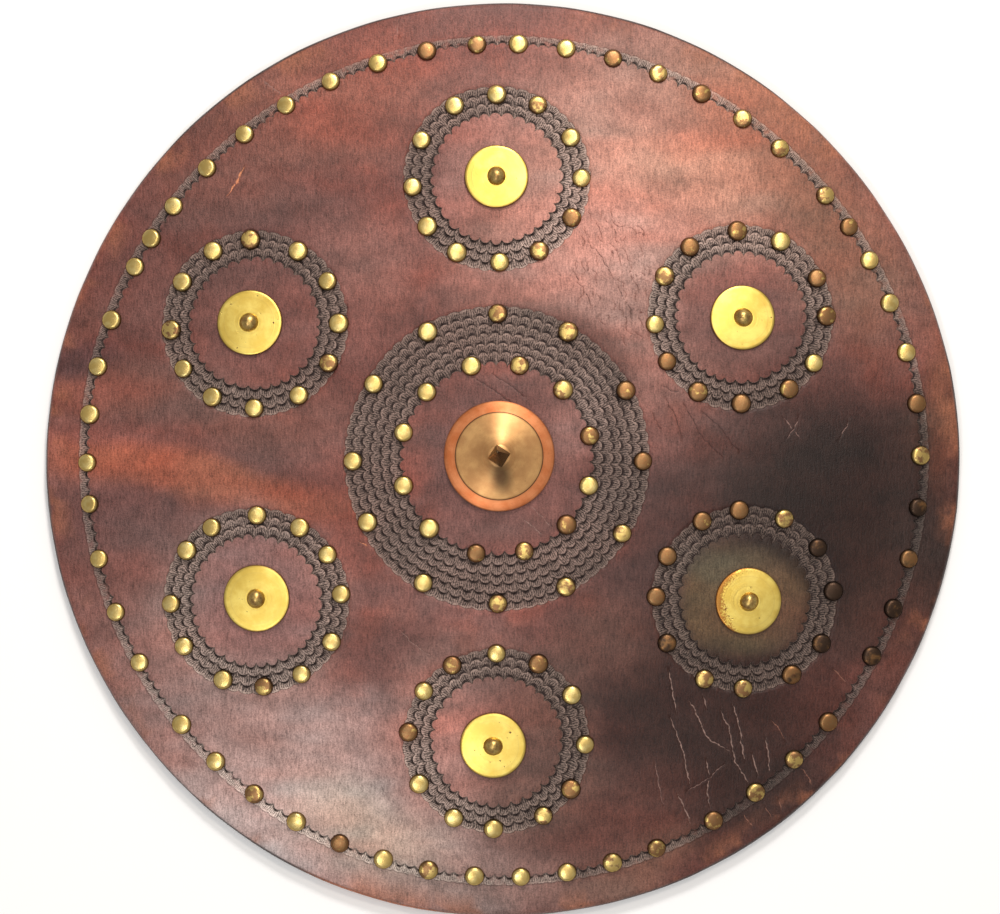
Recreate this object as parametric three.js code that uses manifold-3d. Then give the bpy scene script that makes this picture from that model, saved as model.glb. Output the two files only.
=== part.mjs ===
// Round hide shield, lying face up on the rim of its hollow back.
// Millimetres, +Z up, origin on the ground under the middle of the disc. Seen from above,
// +Y is the top of the face and +X its right. Bearings are degrees clockwise from +Y.
import * as THREE from "three";
import { mergeVertices } from "three/addons/utils/BufferGeometryUtils.js";
import Module from "manifold-3d";

const wasm = await Module();
wasm.setup();

// Dished disc of thick hide
const DISC_RADIUS = 250;
const DISC_SIDES = 48;
const HIDE_THICKNESS = 10;
const EDGE_HEIGHT = 8;
const FACE_RISE = 22;
const FACE_RINGS = [65, 130, 190];
const BACK_RINGS = [80, 125, 165];
const EDGE_ROUND = [
  [246, 0],
  [249.2, 1.8],
  [250, 4.6],
  [248, 8.1],
];
// Hand-cut outline: waves round the edge, each with its count, height and bearing of a crest
const EDGE_WAVES = [
  { count: 2, height: 0.2, crest: -5 },
  { count: 3, height: 0.2, crest: -12 },
  { count: 6, height: 0.35, crest: 25 },
];
const WAVES_START = 232;

// Stamped rows: each drops sharply at its inner edge and rises again outwards
const STAMP_DEPTH = 1.4;
const STAMP_CREST = 0.5;
const HUB_STAMPS = { x: -3.2, y: 0.6, inner: 51.6, pitch: 5.1, rows: 6, sides: 24 };
const RING_STAMPS = { inner: 35.2, pitch: 5.1, rows: 3, sides: 14 };
const RIM_STAMP = { inner: 226.6, outer: 231.4, depth: 0.8 };

// Nail heads, as few-sided cones. A nail in a stamped ring seats lower than the plain face.
const NAIL_RADIUS = 5.5;
const NAIL_HEIGHT = 2.8;
const NAIL_SIDES = 6;
const NAIL_SINK = 0.8;
const RIM_SEAT = -0.4;
const STAMPED_SEAT = -0.9;
const SEAT_GAP = 0.3;
// Rim nails go round in runs of even steps, with wider gaps between the runs
const RIM_NAILS = { x: 0.6, y: -0.3, radius: 227 };
const RIM_RUNS = [
  { first: 2, last: 41.5, nails: 7 },
  { first: 50.5, last: 61.3, nails: 3 },
  { first: 67.8, last: 118, nails: 8 },
  { first: 128.9, last: 149.8, nails: 4 },
  { first: 158.5, last: 203.2, nails: 8 },
  { first: 209.9, last: 230.7, nails: 4 },
  { first: 241, last: 264, nails: 4 },
  { first: 269.7, last: 289.7, nails: 4 },
  { first: 297.7, last: 302.2, nails: 2 },
  { first: 307.6, last: 356.3, nails: 8 },
];
const HUB_NAILS = [
  {
    name: "hub_inner_nail",
    x: -3.6,
    y: 0.5,
    radius: 51.9,
    bearings: [14, 44, 76, 106, 133, 163, 192, 224, 254, 286, 314, 345],
  },
  {
    name: "hub_outer_nail",
    x: -2.7,
    y: 0.7,
    radius: 78.2,
    bearings: [0, 29, 62, 91, 121, 152, 180, 211, 244, 269, 301, 331],
  },
];

// Six nailed rings about the hub: the middle of each ring, its nails, and its brass roundel
const RINGS = [
  {
    name: "top",
    x: -3.3,
    y: 152.7,
    radius: 45.9,
    bearings: [0, 29, 61, 90, 118, 150, 178, 208, 235, 264, 297, 330],
    roundel: [-3.4, 153.2],
  },
  {
    name: "upper_right",
    x: 128.9,
    y: 77.4,
    radius: 46.9,
    bearings: [-2, 28, 63, 89, 122, 146, 180, 210, 239, 265, 298, 324],
    roundel: [129.6, 76.9],
  },
  {
    name: "lower_right",
    x: 131.2,
    y: -75.5,
    radius: 48.5,
    bearings: [-4, 26, 55, 85, 120, 148, 181, 207, 241, 272, 299, 331],
    roundel: [132.8, -76.4],
  },
  {
    name: "bottom",
    x: -3.4,
    y: -152.5,
    radius: 48,
    bearings: [0, 28, 58, 92, 123, 148, 182, 209, 241, 276, 305, 330],
    roundel: [-5.3, -154.4],
  },
  {
    name: "lower_left",
    x: -133.8,
    y: -76.5,
    radius: 46.6,
    bearings: [1, 31, 57, 85, 118, 148, 175, 203, 238, 268, 306, 329],
    roundel: [-133.1, -74.8],
  },
  {
    name: "upper_left",
    x: -134.5,
    y: 73.8,
    radius: 45.8,
    bearings: [-3, 31, 60, 90, 118, 148, 180, 210, 238, 266, 300, 330],
    roundel: [-136.9, 74.2],
  },
];
const ROUNDEL_SIDES = 18;
const ROUNDEL_PROFILE = [
  [0, 0],
  [17.3, 0],
  [17.3, 0.9],
  [16.4, 1.4],
  [0, 1.9],
];
const RIVET_SIDES = 8;
const RIVET_PROFILE = [
  [0, 0],
  [4.9, 0],
  [4.7, 1.8],
  [3.3, 3.5],
  [0, 4.3],
];

// Turned boss with a trumpet neck, and the square spike on it
const BOSS_CENTRE = [-2, 2.1];
const BOSS_SIDES = 24;
const BOSS_PROFILE = [
  [0, 0],
  [29.8, -0.3],
  [29.8, 1.2],
  [28.6, 2.2],
  [23.8, 3.2],
  [23.2, 3.9],
  [18, 5.2],
  [13, 7.4],
  [9.6, 10.4],
  [7.6, 14],
  [0, 14],
];
const SPIKE_CORNER = 6.6;
const SPIKE_TIP = 0.5;
const SPIKE_LENGTH = 22;
const SPIKE_TURN = 12;

// Straps across the hollow back, slack, each held by two rivets
const STRAP_THICKNESS = 3;
const STRAP_MIDDLE_HEIGHT = 4.8;
const STRAP_SLACK = { from: 28, to: 64 };
const STRAP_CLEARANCE = 0.6;
const STRAP_END_TAPER = { length: 9, width: 0.6 };
const STRAP_STEPS = 12;
const STRAPS = [
  { name: "arm_strap", x: -135, length: 184, width: 40, rivets: [5, 4] },
  { name: "hand_strap", x: 131.2, length: 184, width: 30, rivets: [1, 2] },
];
const STRAP_RIVET_PROFILE = [
  [0, 0],
  [5, 0],
  [4.2, 1.5],
  [0, 2.2],
];

const hideFinish = new THREE.MeshStandardMaterial({ color: 0x6b3b33, roughness: 0.55, metalness: 0 });
const nailFinish = new THREE.MeshStandardMaterial({ color: 0xb7a24a, roughness: 0.35, metalness: 1 });
const discFinish = new THREE.MeshStandardMaterial({ color: 0xd8bd3e, roughness: 0.35, metalness: 1 });
const rivetFinish = new THREE.MeshStandardMaterial({ color: 0x8a713c, roughness: 0.35, metalness: 1 });
const bossFinish = new THREE.MeshStandardMaterial({ color: 0xc08048, roughness: 0.35, metalness: 1 });
const spikeFinish = new THREE.MeshStandardMaterial({ color: 0x4d3a26, roughness: 0.45, metalness: 1 });
const strapFinish = new THREE.MeshStandardMaterial({ color: 0x4a2b22, roughness: 0.7, metalness: 0 });

const CURVE = FACE_RISE / DISC_RADIUS ** 2;
const FACE_TOP = EDGE_HEIGHT + FACE_RISE;
const BACK_TOP = FACE_TOP - HIDE_THICKNESS;

const faceHeight = (x, y) => FACE_TOP - CURVE * (x * x + y * y);
const backHeight = (x, y) => BACK_TOP - CURVE * (x * x + y * y);
const radians = THREE.MathUtils.degToRad;

// A profile of [radius, height] points turned about +Z
function turned(profile, sides) {
  const points = profile.map(([r, z]) => new THREE.Vector2(r, z));
  return new THREE.LatheGeometry(points, sides).rotateX(Math.PI / 2);
}

// Moves each vertex of a geometry by a function of its place
function reshaped(geometry, change) {
  const place = geometry.getAttribute("position");
  const p = new THREE.Vector3();
  for (let i = 0; i < place.count; i++) {
    p.fromBufferAttribute(place, i);
    change(p);
    place.setXYZ(i, p.x, p.y, p.z);
  }
  return geometry;
}

function solid(geometry) {
  const plain = geometry.clone();
  plain.deleteAttribute("normal");
  plain.deleteAttribute("uv");
  const merged = mergeVertices(plain, 1e-3);
  return new wasm.Manifold(
    new wasm.Mesh({
      numProp: 3,
      vertProperties: merged.attributes.position.array,
      triVerts: new Uint32Array(merged.index.array),
    }),
  );
}

function geometryOf(body) {
  const { vertProperties, triVerts } = body.getMesh();
  const geometry = new THREE.BufferGeometry();
  geometry.setAttribute("position", new THREE.BufferAttribute(vertProperties, 3));
  geometry.setIndex(new THREE.BufferAttribute(triVerts, 1));
  return geometry;
}

// Stands an object on the face at (x, y), upright on the slope there
function onFace(object, x, y, lift = 0) {
  const normal = new THREE.Vector3(2 * CURVE * x, 2 * CURVE * y, 1).normalize();
  object.quaternion.setFromUnitVectors(new THREE.Vector3(0, 0, 1), normal);
  object.position.set(x, y, faceHeight(x, y)).addScaledVector(normal, lift);
  return object;
}

function around(ring, bearing) {
  const angle = radians(bearing);
  return [ring.x + ring.radius * Math.sin(angle), ring.y + ring.radius * Math.cos(angle)];
}

function named(name, geometry, material) {
  const mesh = new THREE.Mesh(geometry, material);
  mesh.name = name;
  return mesh;
}

// The bare disc: underside, flat rim rest, rounded edge, and face with the rim's stamped groove
function discBlank() {
  const restInner = Math.sqrt(BACK_TOP / CURVE);
  const onCurve = (height, r, drop = 0) => [r, height(r, 0) - drop];
  const profile = [
    onCurve(backHeight, 0),
    ...BACK_RINGS.map((r) => onCurve(backHeight, r)),
    [restInner, 0],
    ...EDGE_ROUND,
    onCurve(faceHeight, RIM_STAMP.outer),
    onCurve(faceHeight, RIM_STAMP.inner, RIM_STAMP.depth),
    onCurve(faceHeight, RIM_STAMP.inner),
    ...FACE_RINGS.toReversed().map((r) => onCurve(faceHeight, r)),
    onCurve(faceHeight, 0),
  ];
  return reshaped(turned(profile, DISC_SIDES), (p) => {
    const r = Math.hypot(p.x, p.y);
    if (r <= WAVES_START) return;
    const bearing = Math.atan2(p.x, p.y);
    const wave = EDGE_WAVES.reduce(
      (sum, w) => sum + w.height * Math.cos(w.count * (bearing - radians(w.crest))),
      0,
    );
    const share = (wave * (r - WAVES_START)) / (DISC_RADIUS - WAVES_START) / r;
    p.x += p.x * share;
    p.y += p.y * share;
  });
}

// What a band of stamped rows takes out of the face, as a saw-toothed ring laid on its curve
function stampedBand({ x, y, inner, pitch, rows, sides }) {
  const above = 2;
  const profile = [[inner, above]];
  for (let row = 0; row < rows; row++) {
    const start = inner + row * pitch;
    if (row > 0) profile.push([start, -STAMP_CREST]);
    profile.push([start, -STAMP_DEPTH]);
  }
  const end = inner + rows * pitch;
  profile.push([end, -STAMP_CREST], [end, above], profile[0]);
  return reshaped(turned(profile, sides), (p) => {
    p.x += x;
    p.y += y;
    p.z += faceHeight(p.x, p.y);
  });
}

// A nail head of the full radius at its seat, going on down at the same slope by what it sinks in
function nailHead(seat = 0, sink = 0) {
  const foot = seat - sink;
  const footRadius = (NAIL_RADIUS * (NAIL_HEIGHT - foot)) / (NAIL_HEIGHT - seat);
  const profile = [
    [0, foot],
    [footRadius, foot],
    [0, NAIL_HEIGHT],
  ];
  return turned(profile, NAIL_SIDES);
}

function sunkNail([x, y], seat) {
  const place = onFace(new THREE.Object3D(), x, y);
  place.updateMatrix();
  return nailHead(seat, NAIL_SINK).applyMatrix4(place.matrix);
}

function fusedNails() {
  const rimBearings = RIM_RUNS.flatMap(({ first, last, nails }) =>
    Array.from({ length: nails }, (_, i) => first + ((last - first) * i) / (nails - 1)),
  );
  return [
    ...rimBearings.map((bearing) => sunkNail(around(RIM_NAILS, bearing), RIM_SEAT)),
    ...RINGS.flatMap((ring) =>
      ring.bearings.map((bearing) => sunkNail(around(ring, bearing), STAMPED_SEAT)),
    ),
  ];
}

function hideDisc() {
  let body = solid(discBlank());
  const bands = [HUB_STAMPS, ...RINGS.map(({ x, y }) => ({ x, y, ...RING_STAMPS }))];
  for (const band of bands) body = body.subtract(solid(stampedBand(band)));
  for (const nail of fusedNails()) body = body.add(solid(nail));
  return named("hide_disc", geometryOf(body), hideFinish);
}

function hubNails() {
  return HUB_NAILS.flatMap((ring) =>
    ring.bearings.map((bearing, i) => {
      const name = `${ring.name}_${String(i + 1).padStart(2, "0")}`;
      const nail = named(name, nailHead(), nailFinish);
      return onFace(nail, ...around(ring, bearing), SEAT_GAP);
    }),
  );
}

function roundels() {
  const discTop = ROUNDEL_PROFILE.at(-1)[1];
  return RINGS.map((ring) => {
    const disc = named(`roundel_${ring.name}`, turned(ROUNDEL_PROFILE, ROUNDEL_SIDES), discFinish);
    const rivet = named(`rivet_${ring.name}`, turned(RIVET_PROFILE, RIVET_SIDES), rivetFinish);
    rivet.position.z = discTop + SEAT_GAP;
    const place = new THREE.Group().add(disc, rivet);
    return onFace(place, ...ring.roundel, SEAT_GAP);
  });
}

function boss() {
  const [x, y] = BOSS_CENTRE;
  const body = named("boss", turned(BOSS_PROFILE, BOSS_SIDES), bossFinish);
  const spike = named(
    "boss_spike",
    new THREE.CylinderGeometry(SPIKE_TIP, SPIKE_CORNER, SPIKE_LENGTH, 4).rotateX(Math.PI / 2),
    spikeFinish,
  );
  spike.rotation.z = radians(SPIKE_TURN);
  spike.position.z = BOSS_PROFILE.at(-1)[1] + SEAT_GAP + SPIKE_LENGTH / 2;
  const place = new THREE.Group().add(body, spike);
  place.position.set(x, y, faceHeight(x, y) + SEAT_GAP);
  return place;
}

// Top of a strap: level in its slack middle, close under the hide at its riveted ends
function strapTop(x, y) {
  const slack = 1 - THREE.MathUtils.smoothstep(Math.abs(y), STRAP_SLACK.from, STRAP_SLACK.to);
  return THREE.MathUtils.lerp(backHeight(x, y) - STRAP_CLEARANCE, STRAP_MIDDLE_HEIGHT, slack);
}

function strap({ name, x, length, width }) {
  const { length: taperLength, width: endWidth } = STRAP_END_TAPER;
  const geometry = new THREE.BoxGeometry(width, length, STRAP_THICKNESS, 2, STRAP_STEPS, 1);
  reshaped(geometry, (p) => {
    const fromEnd = (length / 2 - Math.abs(p.y)) / taperLength;
    p.x = x + p.x * Math.min(1, THREE.MathUtils.lerp(endWidth, 1, fromEnd));
    p.z += strapTop(p.x, p.y) - STRAP_THICKNESS / 2;
  });
  return named(name, geometry, strapFinish);
}

// Rivet heads hang under the straps' ends, behind the roundels
function strapRivets({ name, rivets }) {
  return rivets.map((ringIndex) => {
    const [x, y] = RINGS[ringIndex].roundel;
    const rivetName = `${name}_rivet_${RINGS[ringIndex].name}`;
    const head = named(rivetName, turned(STRAP_RIVET_PROFILE, RIVET_SIDES), rivetFinish);
    const lift = -HIDE_THICKNESS - STRAP_CLEARANCE - STRAP_THICKNESS - SEAT_GAP;
    onFace(head, x, y, lift);
    head.quaternion.multiply(new THREE.Quaternion().setFromAxisAngle(new THREE.Vector3(1, 0, 0), Math.PI));
    return head;
  });
}

const shield = new THREE.Group();
shield.add(hideDisc(), ...hubNails(), ...roundels(), boss());
for (const each of STRAPS) shield.add(strap(each), ...strapRivets(each));

export default shield;
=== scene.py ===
"""Dresses the solids of a round hide shield that lies face up on its rim.

Every piece is computed in millimetres in the part's own frame: +Z up out of the face, +Y to the
top of the face, +X to its right, and bearings in degrees clockwise from +Y.
"""

import math

import bpy
import numpy as np
from bpy.props import FloatProperty, FloatVectorProperty, IntProperty, PointerProperty
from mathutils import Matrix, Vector
from mathutils.geometry import delaunay_2d_cdt


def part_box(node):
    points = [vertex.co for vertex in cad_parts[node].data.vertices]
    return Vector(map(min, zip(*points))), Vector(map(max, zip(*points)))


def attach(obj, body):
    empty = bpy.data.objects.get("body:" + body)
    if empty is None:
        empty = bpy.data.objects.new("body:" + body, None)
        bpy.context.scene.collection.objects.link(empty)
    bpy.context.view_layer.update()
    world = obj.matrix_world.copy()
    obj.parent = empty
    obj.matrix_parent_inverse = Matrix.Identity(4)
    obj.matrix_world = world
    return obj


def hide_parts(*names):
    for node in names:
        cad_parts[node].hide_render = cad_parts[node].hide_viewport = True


bl_info = {
    "name": "Round Hide Shield",
    "version": (1, 0, 0),
    "blender": (4, 5, 0),
    "location": "3D View > Sidebar > Shield",
    "description": "Stamped hide, brass nails, roundels, boss and straps of a round shield",
    "category": "Object",
}

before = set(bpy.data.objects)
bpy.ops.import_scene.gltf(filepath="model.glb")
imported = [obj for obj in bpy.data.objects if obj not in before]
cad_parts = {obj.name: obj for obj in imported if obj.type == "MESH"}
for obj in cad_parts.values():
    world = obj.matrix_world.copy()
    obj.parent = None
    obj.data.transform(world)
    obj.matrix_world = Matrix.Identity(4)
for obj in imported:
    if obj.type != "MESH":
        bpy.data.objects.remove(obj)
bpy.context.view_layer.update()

MM = 0.001
DISC_RADIUS = 250.0
FACE_TOP = 30.0
BACK_TOP = 20.0
FACE_CURVE = 22.0 / DISC_RADIUS**2
# Reach and spacing of the loose points on the face and on the hollow back
FACE_POINTS = (244.0, 3.0)
FACE_REACH = 242.8
BACK_POINTS = (234.6, 5.9)
# Waves of the hand-cut outline: count, height and bearing of a crest
EDGE_WAVES = [(2, 0.2, -5), (3, 0.2, -12), (6, 0.35, 25), (23, 0.05, 3), (41, 0.05, 9)]

HUB = (-3.2, 0.6)
HUB_ROWS = {"inner": 51.2, "pitch": 5.12, "rows": 6, "samples": 560}
RING_ROWS = {"inner": 34.9, "pitch": 5.1, "rows": 3, "samples": 372}
RIM_ROW = {"inner": 225.9, "outer": 230.9, "stamps": 250, "samples": 1250}

# Each ring's middle, the size of its roundel, the radius of its circle of nails, and the finishes and
# bearings of the nails. A nail is g golden, h half tarnished, b brown, o olive brown or d dark
RINGS = {
    "top": (
        (-3.3, 152.7), 1.0, 45.9, "ghggbhgggggg",
        (0, 29, 61, 90, 118, 150, 178, 208, 235, 264, 297, 330),
    ),
    "upper_right": (
        (128.9, 77.4), 1.02, 46.9, "bgbbgbbbbghb",
        (-2, 28, 63, 89, 122, 146, 180, 210, 239, 265, 298, 324),
    ),
    "lower_right": (
        (131.2, -75.5), 1.05, 48.5, "bhdddohhoobb",
        (-4, 26, 55, 85, 120, 148, 181, 207, 241, 272, 299, 331),
    ),
    "bottom": (
        (-3.4, -152.5), 1.04, 48.0, "gbggbhgggbgb",
        (0, 28, 58, 92, 123, 148, 182, 209, 241, 276, 305, 330),
    ),
    "lower_left": (
        (-133.8, -76.5), 1.05, 46.6, "gggggghggggg",
        (1, 31, 57, 85, 118, 148, 175, 203, 238, 268, 306, 329),
    ),
    "upper_left": (
        (-134.5, 73.8), 1.03, 45.8, "hggghgggghgg",
        (-3, 31, 60, 90, 118, 148, 180, 210, 238, 266, 300, 330),
    ),
}
HUB_FINISH = {"hub_inner_nail": "hhbgbhbggggg", "hub_outer_nail": "hhbbhhhggggg"}
# Nails go round the rim in runs: first and last bearing, and the finish of each nail
RIM_MIDDLE = (0.6, -0.3)
RIM_NAIL_RADIUS = 227.0
RIM_RUNS = [
    (2, 41.5, "ggbhbhh"),
    (50.5, 61.3, "hbg"),
    (67.8, 118, "ggbhdodd"),
    (128.9, 149.8, "ohhb"),
    (158.5, 203.2, "hhggghgb"),
    (209.9, 230.7, "ghgg"),
    (241, 264, "gggg"),
    (269.7, 289.7, "gggg"),
    (297.7, 302.2, "gg"),
    (307.6, 356.3, "ggggghbh"),
]
TARNISH = {"g": 0.0, "h": 0.5, "b": 0.72, "o": 0.9, "d": 1.0}
# Lift of the nail heads that belong to the hide's own solid
SEATED = -0.3
STRAP_RIVETS = (
    "arm_strap_rivet_upper_left",
    "arm_strap_rivet_lower_left",
    "hand_strap_rivet_upper_right",
    "hand_strap_rivet_lower_right",
)

# Broad stains of the dye, a few of them partly painted sheen and painted shade: middle, half widths, turn,
# softness, strength and screen colour
STAINS_AND_PAINTED_LIGHT = [
    ((-130, 110), (110, 80), 35, 0.8, 0.6, (98, 60, 54)),
    ((-100, 195), (70, 30), 20, 0.7, 0.7, (144, 82, 66)),
    # Paler upper right, with the stains at (50, 118) and (95, 152): partly tan leather, partly painted warm
    # sheen
    ((75, 145), (72, 85), -15, 0.8, 0.95, (180, 126, 110)),
    ((50, 118), (34, 34), 0, 0.8, 0.6, (196, 147, 136)),
    ((145, 180), (60, 36), -40, 0.7, 0.6, (156, 98, 72)),
    ((60, 70), (40, 30), 0, 0.8, 0.5, (146, 108, 100)),
    ((34, 58), (38, 13), -38, 0.5, 0.7, (74, 50, 45)),
    ((95, 152), (36, 18), 0, 0.7, 0.4, (214, 146, 118)),
    ((190, 112), (46, 40), -60, 0.7, 0.6, (132, 90, 70)),
    ((122, 84), (33, 34), 0, 0.4, 0.85, (114, 74, 68)),
    ((-3, 180), (28, 16), 0, 0.6, 0.3, (196, 130, 116)),
    ((-24, 152), (15, 20), 0, 0.6, 0.3, (196, 130, 118)),
    ((0, 98), (30, 10), 0, 0.8, 0.4, (140, 96, 88)),
    ((-150, 32), (62, 18), -6, 0.6, 0.6, (102, 76, 69)),
    ((-168, -9), (92, 13), -6, 0.5, 0.9, (148, 82, 61)),
    ((-218, 38), (44, 10), -3, 0.6, 0.7, (128, 76, 64)),
    ((-232, 57), (30, 9), 0, 0.6, 0.7, (80, 52, 52)),
    ((-200, -40), (60, 22), -8, 0.6, 0.7, (94, 62, 59)),
    ((-150, 168), (30, 24), 0, 0.8, 0.8, (104, 66, 58)),
    ((-75, 108), (28, 26), 0, 0.8, 0.5, (144, 99, 90)),
    ((84, -40), (36, 40), 10, 0.8, 0.75, (72, 49, 46)),
    # Darkest part on the right, these three stains: partly dark-stained leather, partly painted shade
    ((178, -22), (78, 72), 0, 0.6, 1.0, (40, 25, 21)),
    ((190, -60), (40, 30), 20, 0.7, 0.95, (12, 6, 5)),
    ((234, -52), (20, 72), 12, 0.6, 0.92, (50, 35, 31)),
    ((228, 28), (14, 24), 0, 0.7, 0.45, (86, 60, 47)),
    ((112, -142), (88, 72), 15, 0.6, 0.95, (48, 28, 23)),
    ((132, -198), (36, 22), 30, 0.7, 0.7, (52, 34, 29)),
    ((72, -222), (30, 14), 14, 0.7, 0.6, (128, 98, 82)),
    ((60, -100), (26, 22), 0, 0.8, 0.5, (112, 76, 66)),
    ((214, -92), (26, 60), 20, 0.6, 0.6, (76, 46, 38)),
    ((131, -76), (34, 34), 0, 0.25, 0.9, (92, 72, 50)),
    ((128, -52), (28, 13), 0, 0.6, 0.6, (90, 78, 62)),
    ((152, -86), (16, 18), 0, 0.7, 0.35, (88, 58, 50)),
    # Paler lower left, these three stains: partly pale leather, partly painted sheen
    ((-100, -182), (95, 48), -28, 0.7, 0.95, (184, 156, 150)),
    ((-150, -208), (66, 20), -38, 0.6, 0.7, (202, 174, 168)),
    ((-70, -205), (42, 24), -20, 0.8, 0.4, (196, 166, 138)),
    ((-185, -115), (50, 55), 25, 0.8, 0.6, (138, 98, 90)),
    ((-134, -77), (54, 54), 0, 0.3, 0.4, (160, 128, 120)),
    ((-134, -74), (38, 38), 0, 0.3, 0.75, (128, 90, 86)),
    ((0, -230), (60, 18), 5, 0.7, 0.7, (142, 114, 106)),
    ((45, -195), (45, 25), 0, 0.7, 0.7, (92, 58, 50)),
    ((-3, -152), (54, 54), 0, 0.3, 0.25, (146, 114, 100)),
    ((-3, -124), (24, 12), 0, 0.6, 0.6, (104, 70, 64)),
    ((20, -150), (24, 24), 0, 0.8, 0.5, (98, 66, 58)),
    ((-28, -150), (24, 30), 0, 0.8, 0.8, (168, 116, 106)),
    ((238, 34), (14, 42), 0, 0.5, 0.7, (114, 67, 50)),
    ((0, 0), (46, 46), 0, 0.4, 0.5, (108, 76, 72)),
    ((34, 12), (14, 24), 0, 0.6, 0.6, (150, 106, 98)),
    ((0, -40), (26, 10), 0, 0.6, 0.4, (92, 63, 57)),
]
# Cracks and scratches: half width, depth and screen colour, then x and y of the corners of each line
MARKS = {
    (0.42, 0.3, (150, 122, 112)): [
        (89.7, -114.2, 94.1, -136.6),
        (90.8, -139.4, 93.5, -147, 98.4, -160, 99.3, -168, 102.3, -177),
        (
            101.5, -130.6, 103.4, -133.9, 107.4, -143.2, 110, -149.2,
            113.2, -153, 119.2, -155.7, 120.9, -157.4,
        ),
        (
            118.7, -135, 119.7, -140.4, 122.5, -144.3, 123.9, -150.8,
            125.2, -157.4, 126.3, -164, 129.6, -169.4, 133.7, -176,
        ),
        (124.7, -132.6, 127.2, -140.4, 129.4, -148.4, 130.4, -156.3, 131.8, -164),
        (135.6, -160, 137.8, -166.7, 138.9, -172.1),
        (142.9, -150.8, 144.3, -159, 145.2, -169.4, 145.9, -173.8),
        (110.7, -162.8, 112.1, -172.1, 111.3, -182.5, 112.6, -189),
        (94.9, -181.2, 98.2, -187.8, 102.3, -198.4),
        (108.8, -128.4, 110.7, -135),
    ],
    (0.4, 0.25, (134, 92, 76)): [
        (146, -141.5, 150.9, -147, 153.5, -152.3),
        (131.1, -192.4, 136.4, -201, 138.3, -207.5),
        (142.9, -189, 148.2, -197.7),
        (162.6, -168, 167.8, -174.6, 169.2, -179.8),
        (150.2, -183.9, 152.8, -192.9),
        (179.7, -112.9, 187.5, -121.9),
    ],
    (0.32, 0.1, (136, 106, 98)): [
        (100.6, -179.8, 109.9, -174.6, 120.6, -165.5),
        (82.4, -164, 85, -177, 87, -187.8),
        (-55, -92, -50, -98, -46, -101, -40, -105),
        (152, 23, 157, 17, 161, 12),
        (154, 12, 158, 17, 160, 22),
        (183, 12, 188, 21),
        (228, 118, 222, 108, 219, 101),
        (-133.3, 209.2, -126, 203.4, -119.6, 198.7),
        (-58.7, 239, -56.7, 231.3),
        (14.9, -24.3, 21, -30.6, 26.5, -35.9),
        (11, -32, 22.7, -41.8),
    ],
    (0.3, 0.3, (58, 36, 32)): [
        (58.5, 135.4, 60.4, 125, 62.4, 113, 63.8, 105.2),
        (46.6, 118.5, 51.9, 111.7, 57.1, 102.6, 59.1, 98.6),
        (38.1, 102.6, 41.4, 96.1, 46.6, 86.8, 47.3, 83),
        (62, 94, 69, 82, 70, 76),
        (80.8, 25, 84.8, 17),
        (88, 33, 93, 24, 97, 10),
        (98, 30, 108, 12, 118, 2),
        (108, 26, 117, 18, 128, 4),
        (86, 40, 92, 37, 99, 36),
        (-16.3, 45, -2.7, 36.2, 7, 28.4),
        (-5.6, 46, 3, 41, 11, 34.3),
    ],
    (0.7, 0.35, (230, 148, 104)): [
        (-140.8, 159.6, -144.4, 152.4, -147.5, 147.5, -149.5, 144),
        (-145.4, 150, -148.6, 145.6),
        (-77, -44.5, -73, -46.5, -70, -48.5),
    ],
}


# Shapes


def face_height(x, y, top=FACE_TOP):
    """Height of the dished face, or of the hollow back: its top less the curve times the squared
    distance from the middle."""
    return top - FACE_CURVE * (x * x + y * y)


def outline(angle):
    """Radius of the disc's edge at a maths angle: the plain radius and a sum of cosine waves."""
    bearing = np.pi / 2 - angle
    waves = sum(h * np.cos(n * (bearing - math.radians(crest))) for n, h, crest in EDGE_WAVES)
    return DISC_RADIUS - 0.1 + waves


def unevenness(x, y, seed=3, reach=0.28):
    """Slow rise and fall of a hand-worked skin: five sine waves in seeded directions, 35 to 120 mm long."""
    rng = np.random.default_rng(seed)
    total = np.zeros_like(x)
    lengths = (120, 88, 63, 47, 35)
    for length in lengths:
        turn, start = rng.uniform(0, 2 * np.pi, 2)
        total += np.sin((x * np.cos(turn) + y * np.sin(turn)) * 2 * np.pi / length + start) * length
    return total / sum(lengths) * reach


def turned(count):
    """Angles of a full turn, in even steps."""
    return np.arange(count) * 2 * np.pi / count


def distance(points, middle=(0, 0)):
    """Distance of each point from a middle."""
    return np.hypot(points[:, 0] - middle[0], points[:, 1] - middle[1])


def around(middle, radius, bearings):
    """Points on a circle at bearings clockwise from +Y."""
    turn = np.radians(np.asarray(bearings, float))
    return np.c_[middle[0] + radius * np.sin(turn), middle[1] + radius * np.cos(turn)]


def middle_of(node):
    """Middle of a node's box, in millimetres."""
    low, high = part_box(node)
    return (np.array(low) + np.array(high)) / 2 / MM


def add_piece(name, points, faces, material, slot, *nodes):
    """Makes a mesh of points in millimetres and of arrays of faces, and dresses the CAD nodes with it."""
    mesh = bpy.data.meshes.new(name)
    polygons = [face for group in faces for face in np.asarray(group).tolist()]
    mesh.from_pydata((np.asarray(points) * MM).tolist(), [], polygons)
    mesh.polygons.foreach_set("use_smooth", np.ones(len(polygons), bool))
    mesh.materials.append(material)
    mesh.update()
    piece = bpy.data.objects.new(name, mesh)
    bpy.context.scene.collection.objects.link(piece)
    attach(piece, "root")
    if nodes:
        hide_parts(*nodes)
    return piece


def set_values(piece, name, values, domain="POINT"):
    """Stores a number, a vector or a colour at each point or face corner of a piece."""
    values = np.asarray(values, np.float32)
    kinds = {1: ("FLOAT", "value"), 3: ("FLOAT_VECTOR", "vector"), 4: ("FLOAT_COLOR", "color")}
    kind, key = kinds[values[0].size]
    piece.data.attributes.new(name, kind, domain).data.foreach_set(key, values.ravel())


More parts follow.
